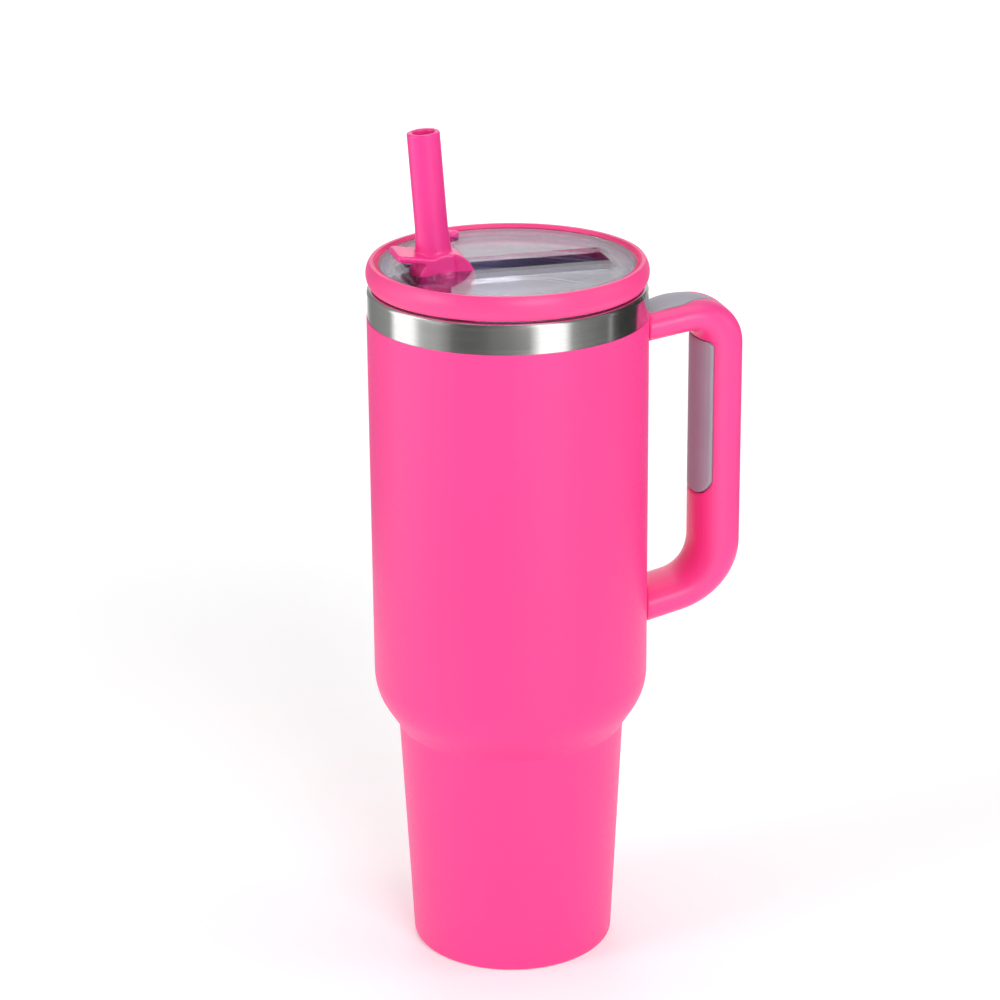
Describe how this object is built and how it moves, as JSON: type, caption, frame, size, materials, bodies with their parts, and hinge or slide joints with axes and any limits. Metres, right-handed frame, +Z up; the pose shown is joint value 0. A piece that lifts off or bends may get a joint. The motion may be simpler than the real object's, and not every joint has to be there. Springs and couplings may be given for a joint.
{
  "type": "insulated tumbler with lid",
  "caption": "Double-walled steel tumbler with a tapered foot for cup holders, a side handle with soft pads, and a push-in lid with a folding spout and a long straw.",
  "frame": {"origin": "middle of the foot, on the surface that the tumbler stands on", "axes": "+Z up along the cup's axis, +X towards the handle, +Y to the vent plug's side"},
  "size_m": [0.1357, 0.1, 0.3101],
  "materials": {
    "brushed_band": "turned, satin",
    "inner_steel": "satin",
    "screw_steel": "plain",
    "getter_metal": "sintered",
    "pink_coat": "fine satin powder coat",
    "pink_handle": "satin moulded",
    "pink_lid": "satin moulded",
    "pink_spout": "satin moulded",
    "pink_straw": "satin",
    "pink_silicone": "matte",
    "grey_pad": "fine matte",
    "clear_lid": "polished clear",
    "clear_silicone": "matte"
  },
  "bodies": {
    "cup": {"outer_shell": "brushed_band", "powder_coat": "pink_coat", "inner_liner": "inner_steel", "outer_base": "inner_steel", "getter": "getter_metal", "vacuum_seal": "getter_metal", "upper_bracket": "inner_steel", "lower_bracket": "inner_steel", "handle": "pink_handle", "thumb_pad": "grey_pad", "grip_pad": "grey_pad", "handle_screws": "screw_steel", "screw_plugs": "pink_handle"},
    "lid": {"lid_ring": "pink_lid", "lid_top": "clear_lid", "lid_plug": "clear_lid", "lid_gasket": "clear_silicone", "vent_plug": "pink_silicone", "spout_seal": "pink_silicone", "straw": "pink_straw"},
    "flip_spout": {"spout": "pink_spout"}
  },
  "joints": [
    {"name": "lid_lift", "type": "slide", "parent": "cup", "child": "lid", "axis": [0, 0, 1], "range_m": [0, 0.25]},
    {"name": "spout_flip", "type": "hinge", "parent": "lid", "child": "flip_spout", "pos_m": [-0.0233, 0, 0.257], "axis": [0, 1, 0], "range_deg": [0, 94]}
  ]
}
